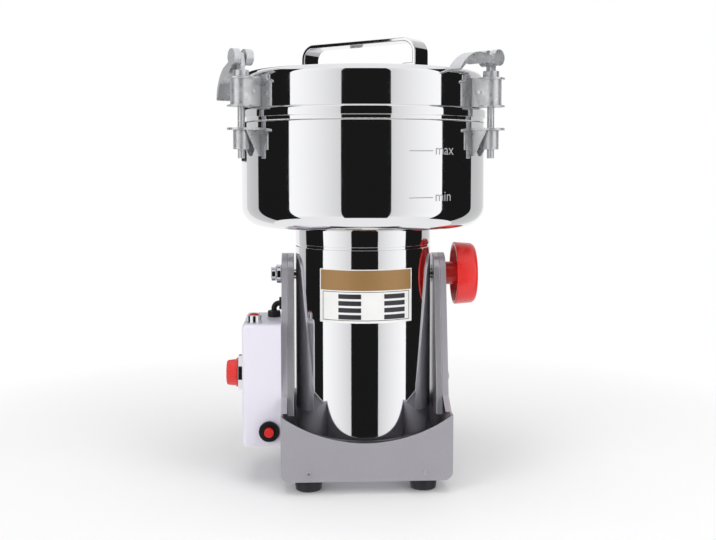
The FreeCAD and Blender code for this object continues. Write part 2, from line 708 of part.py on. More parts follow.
for side, azimuth in clamps.items():
    # Bracket on the lid: a strap bent round the rod, between two plates
    strap = new_body(f"strap_{side}")
    pad(strap, strap_outline(strap, "bracket_half", bracket_base), "bracket_height")
    core = new_body(f"strap_core_{side}")
    pad(core, strap_outline(core, "(bracket_half - bracket_sheet)",
                            f"{bracket_base} + bracket_sheet"),
        "bracket_height - 2 * bracket_sheet")
    plates = [cylinder(f"plate_{side}_{level}", "bracket_plate_radius", "bracket_sheet",
                       ("0", "0", start))
              for level, start in (("low", bracket_base),
                                   ("high", f"{bracket_top} - bracket_sheet"))]
    rod_hole = cylinder(f"rod_hole_{side}", "rod_radius + loose_clearance",
                        "3 * bracket_height", ("0", "0", f"{bracket_base} - bracket_height"))
    lid_body = cylinder(f"lid_space_{side}", lid_wall_radius, "3 * bracket_height",
                        (f"-{clamp_circle}", "0", f"{bracket_base} - bracket_height"))
    lid_brackets.append(around(cut(f"lid_bracket_{side}", fuse(f"strap_set_{side}", strap, *plates),
                                   core, rod_hole, lid_body), azimuth))
    rivets.append(around(fuse(f"rivet_{side}", *[
        cylinder(f"rivet_{side}_{way}", "screw_radius", "rivet_head",
                 ("-0.8 * bracket_half", start, f"{bracket_base} + bracket_height / 2"), ALONG_Y)
        for way, start in (("a", "bracket_half"), ("b", "-bracket_half - rivet_head"))]), azimuth))
    # Bracket on the bowl: a ledge over two gussets
    ledge_disc = cylinder(f"ledge_disc_{side}", "bracket_plate_radius", "ledge_thickness",
                          ("0", "0", ledge_base))
    ledge_arm = block(f"ledge_arm_{side}",
                      (ledge_root, "2 * bracket_plate_radius", "ledge_thickness"),
                      (f"-{ledge_root}", "-bracket_plate_radius", ledge_base))
    gussets = []
    for way, start in (("a", "rod_nut_radius + gusset_gap"),
                       ("b", "-rod_nut_radius - gusset_gap - ledge_thickness")):
        gusset = new_body(f"gusset_{side}_{way}")
        pad(gusset, outline(gusset, "XZ_Plane", [
            (f"-{ledge_root}", f"{ledge_base} - gusset_height"),
            ("-clamp_reach + ledge_thickness / 2", f"{ledge_base} - gusset_height"),
            ("0", ledge_base),
            (f"-{ledge_root}", ledge_base),
        ], f"-({start}) - ledge_thickness"), "ledge_thickness")
        gussets.append(gusset)
    ledge_hole = cylinder(f"ledge_hole_{side}", "rod_radius", "gusset_height",
                          ("0", "0", f"{ledge_base} - ledge_thickness"))
    bowl_body = cylinder(f"bowl_space_{side}", "bowl_radius", "2 * bowl_height",
                         (f"-{clamp_circle}", "0", bowl_floor))
    bowl_brackets.append(around(cut(f"bowl_bracket_{side}", fuse(
        f"ledge_set_{side}", ledge_disc, ledge_arm, *gussets), ledge_hole, bowl_body), azimuth))
    rod_low = f"({ledge_base} - rod_nut_length - rod_overhang)"
    rods.append(around(cylinder(f"rod_{side}", "rod_radius",
                                f"{bracket_top} + rod_end - {rod_low}", ("0", "0", rod_low)),
                       azimuth))
    rod_nuts.append(around(tube(f"rod_nut_{side}", "rod_nut_radius", "rod_radius",
                                "rod_nut_length",
                                ("0", "0", f"{ledge_base} - rod_nut_length")), azimuth))
    # Barrel nut on the rod's end, with the tongue that carries the lever's pin
    yaw, pitch = lever_places[side]
    drum = cylinder(f"drum_{side}", "barrel_nut_radius", "barrel_nut_height",
                    ("0", "0", f"{bracket_top} + turning_gap"))
    tongue = block(f"tongue_{side}",
                   ("tongue_width", "tongue_thickness", "pin_rise - turning_gap"),
                   ("-tongue_width / 2", "-tongue_thickness / 2",
                    f"{bracket_top} + turning_gap"))
    tongue_top = cylinder(f"tongue_top_{side}", "tongue_width / 2", "tongue_thickness",
                          ("0", "-tongue_thickness / 2", pin_height), ALONG_Y)
    nut_bore = cylinder(f"nut_bore_{side}", "rod_radius + running_clearance",
                        "rod_end + turning_gap", ("0", "0", bracket_top))
    pin_bore = cylinder(f"pin_bore_{side}", "pin_radius + running_clearance",
                        "2 * tongue_thickness", ("0", "-tongue_thickness", pin_height), ALONG_Y)
    barrel_nut = cut(f"barrel_nut_{side}", fuse(f"nut_set_{side}", drum, tongue, tongue_top),
                     nut_bore, pin_bore)
    around(barrel_nut, azimuth)
    barrel_nut.Placement.Rotation = FreeCAD.Rotation(FreeCAD.Vector(0, 0, 1), yaw)
    node(f"barrel_nut_{side}", barrel_nut)
    # Cam lever: a forked round head and a tapered, bowed arm
    arm = new_body(f"lever_arm_{side}")
    pad(arm, outline(arm, "XZ_Plane", [
        ("0", "lever_head_radius"),
        ("0", "0"),
        ("lever_head_radius * 1.28", "-lever_head_radius * 0.65"),
        ("lever_reach * 0.46", "-lever_head_radius * 0.9"),
        ("lever_reach * 0.74", "-lever_head_radius * 0.52"),
        ("lever_reach * 0.98", "-lever_drop * 1.12"),
        ("lever_reach", "-lever_drop"),
        ("lever_reach * 0.46", "lever_head_radius * 0.55", "lever_reach * 0.7", 1),
        ("lever_head_radius * 1.14", "lever_head_radius * 0.3"),
    ]), "lever_width * 0.7", True)
    head = cylinder(f"lever_head_{side}", "lever_head_radius", "lever_width",
                    ("0", "-lever_width / 2", "0"), ALONG_Y)
    slot = block(f"lever_slot_{side}",
                 ("3 * lever_head_radius", "tongue_thickness + 2 * turning_gap",
                  "4 * lever_head_radius"),
                 ("-lever_head_radius * 2", "-tongue_thickness / 2 - turning_gap",
                  "-2 * lever_head_radius"))
    pin = cylinder(f"lever_pin_{side}", "pin_radius", "lever_width - 2 * pin_inset",
                   ("0", "-lever_width / 2 + pin_inset", "0"), ALONG_Y)
    forked = cut(f"lever_fork_{side}", fuse(f"lever_set_{side}", arm, head), slot)
    lever = fuse(f"cam_lever_{side}", forked, pin)
    around(lever, azimuth)
    bind(lever, "Placement.Base.z", pin_height)
    lever.Placement.Rotation = FreeCAD.Rotation(yaw, pitch, 0)
    node(f"cam_lever_{side}", lever)
node("lid_brackets", group("lid_brackets", *lid_brackets))
node("bracket_rivets", group("bracket_rivets", *rivets))
node("bowl_brackets", group("bowl_brackets", *bowl_brackets))
node("clamp_rods", group("clamp_rods", *rods))
node("rod_nuts", group("rod_nuts", *rod_nuts))

# Motor inside the barrel
stator_low = f"({barrel_bottom} + stator_rise)"
lower_bearing = f"({barrel_bottom} + bearing_rise)"
upper_bearing = f"({bowl_floor} - bearing_height - bearing_drop)"
node("motor_shaft", cylinder("motor_shaft", "shaft_radius",
                             f"{blade_low} + 2 * blade_thickness + blade_spacer_height"
                             f" + blade_nut_height + shaft_tip - {shaft_low}",
                             ("0", "0", shaft_low)))
for name, start in (("bearing_lower", lower_bearing), ("bearing_upper", upper_bearing)):
    node(name, tube(name, "bearing_radius", "shaft_radius + running_clearance",
                    "bearing_height", ("0", "0", start)))
    node(name.replace("bearing", "end_shield"), tube(
        name.replace("bearing", "shield"), barrel_inner, "bearing_radius", "bearing_height * 0.5",
        ("0", "0", f"{start} + bearing_height * 0.25")))
node("stator", tube("stator", "stator_radius", "armature_radius + stator_gap",
                    "armature_height", ("0", "0", stator_low)))
node("stator_ring", tube("stator_ring", barrel_inner, "stator_radius", "armature_height / 2",
                         ("0", "0", f"{stator_low} + armature_height / 4")))
node("armature", tube("armature", "armature_radius", "shaft_radius", "armature_height",
                      ("0", "0", stator_low)))
node("commutator", tube("commutator", "commutator_radius", "shaft_radius",
                        "commutator_height",
                        ("0", "0", f"{stator_low} - commutator_height - commutator_gap")))
brushes = []
brush_start = "(commutator_radius + turning_gap)"
for name, x in (("left", f"-{barrel_inner}"), ("right", brush_start)):
    brushes.append(block(f"brush_{name}", (f"{barrel_inner} - {brush_start}", "brush_width",
                                           "brush_width"),
                         (x, "-brush_width / 2", f"{stator_low} - commutator_gap"
                          " - (commutator_height + brush_width) / 2")))
brush_limit = cylinder("brush_limit", barrel_inner, "2 * pivot_height")
node("brush_holders", common("brush_holders", fuse("brush_pair", *brushes), brush_limit))
fan_low = f"({stator_low} + armature_height + fan_gap)"
fan_hub = "(shaft_radius + fan_hub_wall)"
fan_blades = 12
vanes = [tube("fan_hub", fan_hub, "shaft_radius", "fan_height", ("0", "0", fan_low)),
         tube("fan_disc", "fan_radius", "shaft_radius", "fan_sheet", ("0", "0", fan_low))]
for index in range(fan_blades):
    turn = index * 360 / fan_blades
    vane = block(f"fan_blade_{index}", (f"fan_radius - {fan_hub}", "fan_sheet", "fan_height"),
                 (f"0.9 * {fan_hub} * cos({turn})", f"0.9 * {fan_hub} * sin({turn})", fan_low))
    vane.Placement.Rotation = FreeCAD.Rotation(FreeCAD.Vector(0, 0, 1), turn)
    vanes.append(vane)
node("cooling_fan", fuse("cooling_fan", *vanes))

# Cutting blades on the shaft inside the bowl
half = "(blade_width / 2)"
for name, start, reach, turn in (
    ("blade_lower", blade_low, "blade_reach", 0),
    ("blade_upper", f"{blade_low} + blade_thickness + blade_spacer_height",
     "(blade_reach * 0.8)", 90),
):
    body = new_body(name + "_plate")
    pad(body, outline(body, "XY_Plane", [
        (f"-{reach}", f"-{half} * 0.2"),
        (f"-{reach} * 0.25", f"-{half}"),
        (f"{reach} * 0.25", f"-{half}"),
        (reach, f"{half} * 0.2"),
        (f"{reach} * 0.97", f"{half} * 0.6"),
        (f"{reach} * 0.25", half),
        (f"-{reach} * 0.25", half),
        (f"-{reach} * 0.97", f"{half} * 0.3"),
    ], start), "blade_thickness")
    hole = cylinder(name + "_hole", "shaft_radius", "bowl_height", ("0", "0", bowl_floor))
    piece = cut(name, body, hole)
    piece.Placement.Rotation = FreeCAD.Rotation(FreeCAD.Vector(0, 0, 1), turn)
    node(name, piece)
node("blade_spacer", tube("blade_spacer", "shaft_radius + blade_spacer_wall", "shaft_radius",
                          "blade_spacer_height", ("0", "0", f"{blade_low} + blade_thickness")))
node("blade_nut", tube("blade_nut", "blade_nut_radius", "shaft_radius", "blade_nut_height",
                       ("0", "0", f"{blade_low} + 2 * blade_thickness + blade_spacer_height")))

# Control box on the left arm
box_size = ("box_depth", "box_front + box_rear", "box_height")
case = doc.addObject("Part::Fillet", "case")
case_block = block("case_block", box_size, (f"-{box_outer_x}", "-box_front", box_low))
doc.recompute()
case.Base = case_block
outer_edges = [
    (index, number("box_corner"), number("box_corner"))
    for index, edge in enumerate(case_block.Shape.Edges, start=1)
    if edge.CenterOfMass.x < -number(box_outer_x) + number("box_depth") * 0.75]
case.Edges = outer_edges
case_hollow = block("case_hollow",
                    ("box_depth - box_wall", "box_front + box_rear - 2 * box_wall",
                     "box_height - 2 * box_wall"),
                    (f"-{box_outer_x} + box_wall", "-box_front + box_wall",
                     f"{box_low} + box_wall"))
timer_height = f"({box_low} + timer_rise)"
timer_spot = ("-timer_forward", timer_height)
timer_bore = cylinder("timer_bore", "spindle_radius", "box_depth",
                      (f"-{box_outer_x} - box_wall", *timer_spot), ALONG_X)
button_spot = (f"-({box_inner_x} + button_place)", f"({box_low} + button_rise)")
button_bore = cylinder("button_bore", "button_bezel_radius * 0.8", "box_wall * 3",
                       (button_spot[0], "-box_front - box_wall", button_spot[1]), ALONG_Y)
lamp_spot = (f"-({box_inner_x} + lamp_place)", "-box_front + lamp_back")
lamp_bore = cylinder("lamp_bore", "lamp_radius * 0.7", "box_wall * 3",
                     (*lamp_spot, f"{box_top} - 2 * box_wall"))
gland_spot = (f"-({box_inner_x} + gland_radius + gland_inset)", "gland_back")
gland_bore = cylinder("gland_bore", "lead_radius", "box_wall * 3",
                      (*gland_spot, f"{box_top} - 2 * box_wall"))
inlet_spot = (f"-({box_inner_x} + box_depth / 2)", f"({box_low} + inlet_rise)")
inlet_bore = cylinder("inlet_bore", "gland_radius", "box_wall * 3",
                      (inlet_spot[0], "box_rear - 2 * box_wall", inlet_spot[1]), ALONG_Y)
node("control_box", cut("control_box", case, case_hollow, timer_bore, button_bore, lamp_bore,
                        gland_bore, inlet_bore))
node("box_back_plate", block("box_back_plate",
                             ("box_wall", "box_front + box_rear - 2 * box_wall",
                              "box_height - 2 * box_wall"),
                             (f"-{box_inner_x} - box_wall", "-box_front + box_wall",
                              f"{box_low} + box_wall")))
node("timer_body", cut("timer_body", block(
    "timer_block", ("timer_body_depth", "timer_body_size", "timer_body_size"),
    (f"-{box_outer_x} + box_wall", "-timer_forward - timer_body_size / 2",
     f"{timer_height} - timer_body_size / 2")), timer_bore))
bezel_x = f"(-{box_outer_x} - timer_bezel_length)"
node("timer_bezel", tube("timer_bezel", "timer_bezel_radius", "spindle_radius",
                         "timer_bezel_length", (bezel_x, *timer_spot), ALONG_X))
knob_x = f"({bezel_x} - turning_gap - timer_knob_length)"
node("timer_knob", fuse(
    "timer_knob_set",
    cylinder("timer_knob_drum", "timer_radius", "timer_knob_length", (knob_x, *timer_spot),
             ALONG_X),
    cylinder("timer_spindle", "spindle_radius - running_clearance",
             "timer_knob_length + timer_bezel_length + box_wall + spindle_tail",
             (knob_x, *timer_spot), ALONG_X)))
node("lamp_base", tube("lamp_base", "lamp_radius", "lamp_radius * 0.7", "lamp_height * 0.8",
                       (*lamp_spot, box_top)))
node("lamp_lens", cylinder("lamp_lens", "lamp_radius * 0.7",
                           "lamp_height + 2 * box_wall",
                           (*lamp_spot, f"{box_top} - 2 * box_wall")))
bezel_y = "-box_front - button_bezel_length"
breaker_bezel = cylinder("breaker_bezel", "button_bezel_radius", "button_bezel_length",
                         (button_spot[0], bezel_y, button_spot[1]), ALONG_Y)
breaker_core = cylinder("breaker_core", "button_bezel_radius * 0.8", "breaker_depth",
                        (button_spot[0], "-box_front", button_spot[1]), ALONG_Y)
button_well = cylinder("button_well", "button_radius + running_clearance",
                       "button_bezel_length + button_tail + button_travel + button_spare",
                       (button_spot[0], bezel_y, button_spot[1]), ALONG_Y)
node("breaker_body", cut("breaker_body", fuse("breaker_set", breaker_bezel, breaker_core),
                         button_well))
node("reset_button", cylinder("reset_button", "button_radius",
                              "button_stand + button_bezel_length + button_tail",
                              (button_spot[0], f"{bezel_y} - button_stand", button_spot[1]),
                              ALONG_Y))
node("power_inlet", fuse(
    "power_inlet",
    cylinder("inlet_collar", "gland_radius + inlet_flange", "gland_height",
             (inlet_spot[0], "box_rear", inlet_spot[1]), ALONG_Y),
    cylinder("inlet_neck", "gland_radius", "box_wall + inlet_tail",
             (inlet_spot[0], "box_rear - box_wall - inlet_tail", inlet_spot[1]), ALONG_Y)))

# Short motor lead from the box's top into the arm, with a gland at each end
lead_bend = "(gland_radius + gland_inset - gland_height / 2)"
lead_top = f"({box_top} + gland_height + {lead_bend} + lead_rise)"
node("cable_glands", group(
    "cable_glands",
    tube("gland_on_box", "gland_radius", "lead_radius", "gland_height", (*gland_spot, box_top)),
    tube("gland_on_arm", "gland_radius", "lead_radius", "gland_height / 2",
         (f"-{box_inner_x} - gland_height / 2", gland_spot[1], lead_top), ALONG_X)))
lead = doc.addObject("Part::Feature", "motor_lead")
lead_x, lead_y = number(gland_spot[0]), number(gland_spot[1])
bend, turn_z = number(lead_bend), number(f"{lead_top} - {lead_bend}")
start = FreeCAD.Vector(lead_x, lead_y, number(f"{box_top} - box_wall"))
rise = FreeCAD.Vector(lead_x, lead_y, turn_z)
over = FreeCAD.Vector(lead_x + bend, lead_y, number(lead_top))
root = math.sqrt(0.5)
middle = FreeCAD.Vector(lead_x + bend * (1 - root), lead_y, turn_z + bend * root)
end = FreeCAD.Vector(-number(box_inner_x), lead_y, number(lead_top))
path = Part.Wire([Part.LineSegment(start, rise).toShape(),
                  Part.Arc(rise, middle, over).toShape(),
                  Part.LineSegment(over, end).toShape()])
section = Part.Wire([Part.makeCircle(number("lead_radius"), start, FreeCAD.Vector(0, 0, 1))])
lead.Shape = path.makePipeShell([section], True, False)
node("motor_lead", lead)

# The origin is under the middle of the outline, so every piece moves by the mill's offset
doc.recompute()
for item in nodes.values():
    for setting, now, shift in (("Placement.Base.x", item.Placement.Base.x, "+ Sizes.axis_right"),
                                ("Placement.Base.y", item.Placement.Base.y,
                                 "- Sizes.axis_forward")):
        rules = [rule[1] for rule in item.ExpressionEngine if rule[0].lstrip(".") == setting]
        item.setExpression(setting, f"{rules[0] if rules else now} {shift}")
doc.recompute()

problems = [item.Name for item in doc.Objects
            if "Invalid" in item.State or "Error" in item.State]
for name, item in nodes.items():
    if item.Shape.isNull() or not item.Shape.isValid() or not item.Shape.Solids:
        problems.append(name)
if problems:
    raise RuntimeError("failed: " + ", ".join(sorted(set(problems))))
os.makedirs("parts", exist_ok=True)
for name, item in nodes.items():
    item.Shape.exportStep(f"parts/{name}.step")
print(len(nodes), "nodes written")
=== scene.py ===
import bpy
import bmesh
import json
import math
from mathutils import Matrix, Vector


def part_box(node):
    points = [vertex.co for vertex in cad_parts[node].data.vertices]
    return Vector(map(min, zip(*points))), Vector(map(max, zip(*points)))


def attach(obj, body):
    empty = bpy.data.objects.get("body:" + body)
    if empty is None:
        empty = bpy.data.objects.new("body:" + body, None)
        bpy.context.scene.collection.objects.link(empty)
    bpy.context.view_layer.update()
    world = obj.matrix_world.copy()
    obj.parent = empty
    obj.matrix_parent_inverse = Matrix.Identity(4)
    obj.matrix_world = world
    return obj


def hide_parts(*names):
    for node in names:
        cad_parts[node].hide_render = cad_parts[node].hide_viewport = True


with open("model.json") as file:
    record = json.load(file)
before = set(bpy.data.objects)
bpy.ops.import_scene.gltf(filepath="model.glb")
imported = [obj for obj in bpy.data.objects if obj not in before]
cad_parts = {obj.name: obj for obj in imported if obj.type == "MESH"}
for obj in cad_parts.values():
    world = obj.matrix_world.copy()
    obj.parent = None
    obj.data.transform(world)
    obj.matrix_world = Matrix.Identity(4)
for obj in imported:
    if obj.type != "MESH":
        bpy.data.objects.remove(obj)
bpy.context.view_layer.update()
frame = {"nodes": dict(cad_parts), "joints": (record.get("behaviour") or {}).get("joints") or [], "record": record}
nodeBody = {node: body for body, names in frame["record"]["behaviour"]["bodies"].items()
            for node in names}
nodeSlot = {s["node"]: s["material_slot"] for s in frame["record"]["subparts"]}
joints = {j["name"]: j for j in frame["joints"]}
millAxis = Vector(joints["tilt"]["pos_m"])  # on the pivot, at the mill's own axis
print("frame loaded:", len(nodeBody), "nodes")


# Materials

# Turns an sRGB hex value to the linear colour that a shader takes.
def linearColour(code):
    parts = [int(code[i:i + 2], 16) / 255 for i in (1, 3, 5)]
    return [c / 12.92 if c <= 0.04045 else ((c + 0.055) / 1.055) ** 2.4 for c in parts] + [1]


# Adds one node; settings are socket values or properties, links are sockets to join.
def addNode(material, kind, settings=None, links=None):
    tree = material.node_tree
    node = tree.nodes.new(kind)
    for name, value in (settings or {}).items():
        if isinstance(name, int) or name in node.inputs:
            node.inputs[name].default_value = value
        else:
            setattr(node, name, value)
    for name, socket in (links or {}).items():
        tree.links.new(socket, node.inputs[name])
    return node


# Every finish starts here: one Principled shader, and the Object coordinates for its patterns
def startMaterial(name, colour, metallic, roughness, **extra):
    material = bpy.data.materials.new(name)
    material.use_nodes = True
    material.node_tree.nodes.clear()
    values = {"Base Color": linearColour(colour), "Metallic": metallic, "Roughness": roughness}
    values.update(extra)
    shader = addNode(material, "ShaderNodeBsdfPrincipled", values)
    addNode(material, "ShaderNodeOutputMaterial", None, {"Surface": shader.outputs["BSDF"]})
    place = addNode(material, "ShaderNodeTexCoord").outputs["Object"]
    return material, shader, place


# A noise whose features are about sizeMm across; stretch above 1 packs them tighter.
def noiseOf(material, place, sizeMm, detail, stretch=(1, 1, 1)):
    turned = addNode(material, "ShaderNodeMapping", {"Scale": stretch}, {"Vector": place})
    return addNode(material, "ShaderNodeTexNoise", {"Scale": 1000 / sizeMm, "Detail": detail},
                   {"Vector": turned.outputs["Vector"]}).outputs["Fac"]


# Varies one socket of the shader between two values by a pattern.
def spread(material, shader, socket, fac, low, high):
    span = addNode(material, "ShaderNodeMapRange",
                   {"From Min": 0.3, "From Max": 0.7, "To Min": low, "To Max": high},
                   {"Value": fac})
    material.node_tree.links.new(span.outputs["Result"], shader.inputs[socket])


def relief(material, shader, fac, depthMm, strength):
    bump = addNode(material, "ShaderNodeBump", {"Strength": strength, "Distance": depthMm / 1000},
                   {"Height": fac})
    material.node_tree.links.new(bump.outputs["Normal"], shader.inputs["Normal"])


# Mixes two close colours by a pattern, as a real finish does.
def tint(material, shader, fac, dark, light):
    mix = addNode(material, "ShaderNodeMix", {"data_type": "RGBA"}, {0: fac})
    mix.inputs[6].default_value = linearColour(dark)
    mix.inputs[7].default_value = linearColour(light)
    material.node_tree.links.new(mix.outputs[2], shader.inputs["Base Color"])


def mirrorSteel(name, colour="#e6e6e8", low=0.025, high=0.06):
    # buffed stainless: a clean mirror with faint wipe marks, so only its roughness wanders
    material, shader, place = startMaterial(name, colour, 1, 0.04)
    spread(material, shader, "Roughness", noiseOf(material, place, 22, 5), low, high)
    relief(material, shader, noiseOf(material, place, 0.5, 2, (1, 1, 3)), 0.0006, 0.3)
    return material


def brushedSteel(name, colour="#c9cacc", roughness=0.28):
    # turned or rolled stainless: fine lines that spread the highlight
    material, shader, place = startMaterial(name, colour, 1, roughness)
    lines = noiseOf(material, place, 0.6, 3, (0.08, 0.08, 3))
    spread(material, shader, "Roughness", lines, roughness * 0.8, roughness * 1.25)
    relief(material, shader, lines, 0.01, 0.35)
    return material


def satinSteel(name, colour, roughness, metallic=0.9):
    # tumbled small parts: softly polished all over, with no direction to the marks
    material, shader, place = startMaterial(name, colour, metallic, roughness)
    spread(material, shader, "Roughness", noiseOf(material, place, 5, 2), roughness * 0.7,
           roughness * 1.4)
    relief(material, shader, noiseOf(material, place, 0.7, 1), 0.002, 0.2)
    return material


def metallicEnamel(name, dark, light, metallic=0.55, roughness=0.32):
    # sprayed silver enamel: soft sheen, mild orange peel and metal flake
    material, shader, place = startMaterial(name, light, metallic, roughness)
    tint(material, shader, noiseOf(material, place, 0.9, 1), dark, light)
    spread(material, shader, "Roughness", noiseOf(material, place, 30, 1), roughness * 0.92,
           roughness * 1.08)
    relief(material, shader, noiseOf(material, place, 1.6, 0), 0.004, 0.15)
    return material


def mouldedPlastic(name, dark, light, roughness, grainMm=0.5, depthMm=0.012, **extra):
    # injection moulded: even colour, slight sink waves and a fine spark-eroded grain
    material, shader, place = startMaterial(name, light, 0, roughness, **extra)
    tint(material, shader, noiseOf(material, place, 14, 1), dark, light)
    relief(material, shader, noiseOf(material, place, grainMm, 0), depthMm * 0.5, 0.25)
    spread(material, shader, "Roughness", noiseOf(material, place, 10, 1), roughness * 0.9,
           roughness * 1.12)
    return material


finishes = {
    "polished_steel": mirrorSteel("buffed_stainless"),
    "clamp_steel": satinSteel("tumbled_stainless", "#cdced1", 0.17),
    "chrome_trim": mirrorSteel("bright_chrome", "#dfe1e4", 0.03, 0.07),
    "screw_steel": satinSteel("plated_screw_steel", "#e2e3e5", 0.4),
    "painted_stand": metallicEnamel("silver_enamel", "#aeacb3", "#bab8bf", 0.3, 0.3),
    "zinc_plate": brushedSteel("zinc_sheet", "#b9bcbf", 0.4),
    "foot_rubber": mouldedPlastic("black_rubber", "#0e0e14", "#17171f", 0.55, 0.8, 0.03),
    "bronze_bush": brushedSteel("sintered_bronze", "#b08d57", 0.4),
    "box_enamel": metallicEnamel("pale_box_enamel", "#dddae6", "#e4e1ec", 0.0, 0.38),
    "black_plastic": mouldedPlastic("black_nylon", "#0f0f11", "#19191c", 0.42),
    "lead_rubber": mouldedPlastic("black_cable_sheath", "#0c0c0d", "#151516", 0.5, 0.6, 0.02),
    "lamp_red": mouldedPlastic("red_lamp_lens", "#c01818", "#d42420", 0.12, 1.5, 0.01,
                               **{"Transmission Weight": 0.35}),
    "red_plastic": mouldedPlastic("red_bakelite", "#d8201c", "#ea2a25", 0.3, 0.6, 0.006,
                                  **{"Coat Weight": 0.25, "Coat Roughness": 0.12}),
    "label_card": mouldedPlastic("label_film", "#e8e8e6", "#f1f1ef", 0.4, 0.4, 0.004),
    "bearing_steel": brushedSteel("ground_bearing_steel", "#a9abaf", 0.22),
    "motor_iron": mouldedPlastic("varnished_laminations", "#26262a", "#34343a", 0.5),
    "copper": brushedSteel("drawn_copper", "#b87350", 0.3),
    "fan_plastic": mouldedPlastic("fan_nylon", "#2a2a2e", "#36363b", 0.5),
    "blade_steel": brushedSteel("ground_blade_steel", "#c4c6c9", 0.2),
    "seal_silicone": mouldedPlastic("white_silicone", "#dcdcd8", "#e8e8e4", 0.5, 0.8, 0.01),
}
extraFinishes = {
    "bronzeStrip": metallicEnamel("bronze_label_strip", "#94713f", "#a27c50", 0.15, 0.4),
    "polishedCheek": metallicEnamel("polished_cheek", "#b9b7bd", "#c6c4ca", 0.55, 0.25),
    "softSteel": satinSteel("soft_clamp_steel", "#cfd0d3", 0.34, 0.7),
    "darkField": mouldedPlastic("dark_label_ink", "#24242a", "#2e2e35", 0.45),
    "etchedMark": mouldedPlastic("etched_fill_mark", "#9b9b9e", "#a9a9ac", 0.7),
    "whiteInk": mouldedPlastic("white_pointer_ink", "#ececec", "#f6f6f6", 0.5),
}
print("materials made:", len(finishes) + len(extraFinishes))


# Tools for new pieces

# Makes a mesh piece of a bmesh, in place, with its finish and body; the finish defaults to the one of its node's
# slot.
def keep(name, bm, node, finish=None, body=None, replaces=None, smoothAngle=32, bevel=0):
    mesh = bpy.data.meshes.new(name)
    bm.to_mesh(mesh)
    bm.free()
    piece = bpy.data.objects.new(name, mesh)
    bpy.context.scene.collection.objects.link(piece)
    mesh.materials.append(finish or finishes[nodeSlot[node]])
    mesh.shade_smooth()
    mesh.set_sharp_from_angle(angle=math.radians(smoothAngle))
    if bevel:
        edge = piece.modifiers.new("edge", "BEVEL")
        edge.width = bevel
        edge.segments = 2
        edge.limit_method = "ANGLE"
        edge.angle_limit = math.radians(35)
        edge.harden_normals = True
    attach(piece, body or nodeBody[node])
    if replaces is None:
        replaces = [node]
    if replaces:
        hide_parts(*replaces)


# A profile whose points may carry a corner radius as their third number.
def rounded(points, steps=6):
    out = []
    for index, point in enumerate(points):
        here = Vector(point[:2])
        if len(point) < 3:
            out.append(here)
            continue
        before = (Vector(points[index - 1][:2]) - here).normalized()
        after = (Vector(points[(index + 1) % len(points)][:2]) - here).normalized()
        half = before.angle(after) / 2
        reach = point[2] / math.tan(half)
        centre = here + (before + after).normalized() * (point[2] / math.sin(half))
        first, last = here + before * reach - centre, here + after * reach - centre
        sweep = first.angle_signed(last)
        for step in range(steps + 1):
            turn = -sweep * step / steps
            out.append(centre + Matrix.Rotation(turn, 2) @ first)
    return out


# A bmesh of revolution about Z through the origin, from (radius, height) points.
def revolved(profile, steps):
    bm = bmesh.new()
    verts = [bm.verts.new((p[0], 0, p[1])) for p in profile]
    pairs = list(zip(verts, verts[1:])) + [(verts[-1], verts[0])]
    edges = [bm.edges.new(pair) for pair in pairs]
    bmesh.ops.spin(bm, geom=verts + edges, cent=(0, 0, 0), axis=(0, 0, 1),
                   angle=math.tau, steps=steps, use_merge=True)
    bmesh.ops.remove_doubles(bm, verts=bm.verts, dist=1e-6)
    bmesh.ops.dissolve_degenerate(bm, edges=bm.edges, dist=1e-6)
    bmesh.ops.recalc_face_normals(bm, faces=bm.faces)
    return bm


def moved(bm, spot, turn=None):
    matrix = Matrix.Translation(spot) @ (turn or Matrix.Identity(4))
    bmesh.ops.transform(bm, matrix=matrix, verts=bm.verts)
    return bm


# Joins several bmeshes into one.
def gathered(parts):
    whole = bmesh.new()
    for part in parts:
        mesh = bpy.data.meshes.new("part")
        part.to_mesh(mesh)
        part.free()
        whole.from_mesh(mesh)
        bpy.data.meshes.remove(mesh)
    return whole


def middle(node):
    low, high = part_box(node)
    return (low + high) / 2, high - low


alongX = Matrix.Rotation(math.radians(90), 4, "Y")
alongMinusX = Matrix.Rotation(math.radians(-90), 4, "Y")


# A CAD node's own form with its flat faces cleaned and its edges softly broken.
def dressed(node, bevel, finish):
    bm = bmesh.new()
    bm.from_mesh(frame["nodes"][node].data)
    bmesh.ops.remove_doubles(bm, verts=bm.verts, dist=1e-6)
    bmesh.ops.dissolve_limit(bm, angle_limit=math.radians(0.5), verts=bm.verts, edges=bm.edges)
    keep(node + "_dressed", bm, node, finish, bevel=bevel)


# A CAD node that keeps its mesh gets its detailed material.
def assign(node):
    data = frame["nodes"][node].data
    data.materials.clear()
    data.materials.append(finishes[nodeSlot[node]])


for node in nodeBody:
    assign(node)

# Grinding bowl: spun sheet with a rounded floor and a rolled rim
bowlSizes = {"wall": 0.002, "floorRound": 0.019, "rimRound": 0.0009, "shaftHole": 0.012}


def makeBowl(sizes):
    centre, size = middle("bowl_shell")
    radius, height = size.x / 2, size.z
    inner, wall = radius - sizes["wall"], sizes["wall"]
    profile = rounded([
        (sizes["shaftHole"], 0), (radius, 0, sizes["floorRound"]),
        (radius, height, sizes["rimRound"]),
        (inner, height, sizes["rimRound"]), (inner, wall, sizes["floorRound"] - wall),
        (sizes["shaftHole"], wall)], 12)
    bm = revolved(profile, 256)
    keep("bowl", moved(bm, (millAxis.x, millAxis.y, centre.z - height / 2)), "bowl_shell")


makeBowl(bowlSizes)

# Lid: deep drawn, a bead over the rim, straight wall and a slightly crowned top
lidSizes = {"sheet": 0.002, "beadHeight": 0.012, "beadRound": 0.002, "wallInset": 0.0027,
            "edgeRound": 0.007, "crown": 0.005, "crownSteps": 16, "crownStart": 0.9,
            "crownLift": 0.0009, "mouthRound": 0.0006, "crease": 0.0004, "seatDepth": 0.003,
            "beadSheet": 0.0018}


